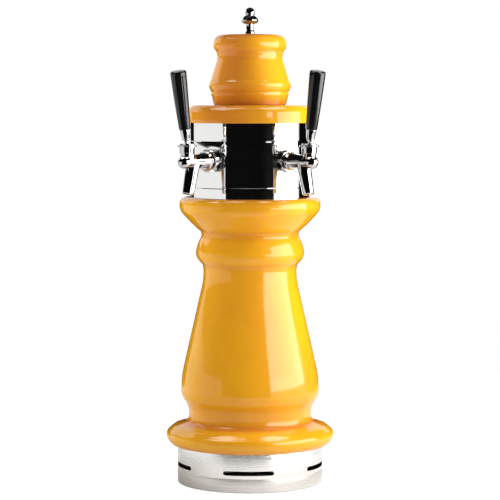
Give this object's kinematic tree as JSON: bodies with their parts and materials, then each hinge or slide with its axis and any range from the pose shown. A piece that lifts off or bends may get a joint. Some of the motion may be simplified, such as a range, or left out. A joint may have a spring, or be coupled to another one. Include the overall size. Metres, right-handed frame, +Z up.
{
  "type": "beer tower dispenser",
  "caption": "Glazed ceramic draft beer tower with a turned column, polished band, forward taps with black handles, a slotted steel base ring and a chrome finial.",
  "frame": {"origin": "centre of the base bolt circle, at the counter surface", "axes": "+Z up along the column's axis; the front with the taps faces -Y; +X to the viewer's right"},
  "size_m": [0.2701, 0.299, 0.7606],
  "materials": {
    "glaze": "amber yellow gloss glaze",
    "polished": "mirror polished stainless sheet",
    "steel": "satin stainless",
    "chrome": "polished chrome on brass",
    "handle": "black, moulded",
    "rubber": "black, matt",
    "tube": "drawn stainless tube"
  },
  "bodies": {
    "tower": {"base_gasket": "rubber", "base_flange": "steel", "riser_ring": "steel", "foot_gasket": "rubber", "tie_bar": "steel", "tie_bar_screws": "steel", "tie_rod": "steel", "jam_nut": "steel", "ceramic_body": "glaze", "lower_band_gasket": "rubber", "faucet_band": "polished", "upper_band_gasket": "rubber", "ceramic_cap": "glaze", "finial_washer": "rubber", "finial": "chrome", "saddle_washer_left": "steel", "saddle_washer_right": "steel", "inner_saddle_left": "steel", "inner_saddle_right": "steel", "shank_left": "chrome", "shank_right": "chrome", "shank_nut_left": "steel", "shank_nut_right": "steel", "coupling_nut_left": "chrome", "coupling_nut_right": "chrome", "coupling_gasket_left": "rubber", "coupling_gasket_right": "rubber", "tail_nut_left": "chrome", "tail_nut_right": "chrome", "tail_washer_left": "rubber", "tail_washer_right": "rubber", "tailpiece_left": "chrome", "tailpiece_right": "chrome", "product_tube_left": "tube", "product_tube_right": "tube", "faucet_body_left": "chrome", "faucet_body_right": "chrome", "bonnet_left": "chrome", "bonnet_right": "chrome", "ball_washer_left": "rubber", "ball_washer_right": "rubber", "friction_washer_left": "rubber", "friction_washer_right": "rubber"},
    "tap_lever_left": {"lever_left": "chrome", "ferrule_left": "chrome", "handle_left": "handle"},
    "valve_left": {"valve_shaft_left": "steel", "valve_seal_left": "rubber", "shaft_nut_left": "steel"},
    "tap_lever_right": {"lever_right": "chrome", "ferrule_right": "chrome", "handle_right": "handle"},
    "valve_right": {"valve_shaft_right": "steel", "valve_seal_right": "rubber", "shaft_nut_right": "steel"}
  },
  "joints": [
    {"name": "tap_lever_left", "type": "hinge", "parent": "tower", "child": "tap_lever_left", "pos_m": [-0.09378, -0.13393, 0.539], "axis": [0.8192, -0.5736, 0], "range_deg": [0, 24]},
    {"name": "valve_left", "type": "slide", "parent": "tower", "child": "valve_left", "axis": [0.5736, 0.8192, 0], "range_m": [0, 0.0078]},
    {"name": "tap_lever_right", "type": "hinge", "parent": "tower", "child": "tap_lever_right", "pos_m": [0.09378, -0.13393, 0.539], "axis": [0.8192, 0.5736, 0], "range_deg": [0, 24]},
    {"name": "valve_right", "type": "slide", "parent": "tower", "child": "valve_right", "axis": [-0.5736, 0.8192, 0], "range_m": [0, 0.0078]}
  ],
  "couplings": [
    {"joint": "valve_left", "follows": "tap_lever_left", "m_per_rad": 0.018343},
    {"joint": "valve_right", "follows": "tap_lever_right", "m_per_rad": 0.018343}
  ]
}
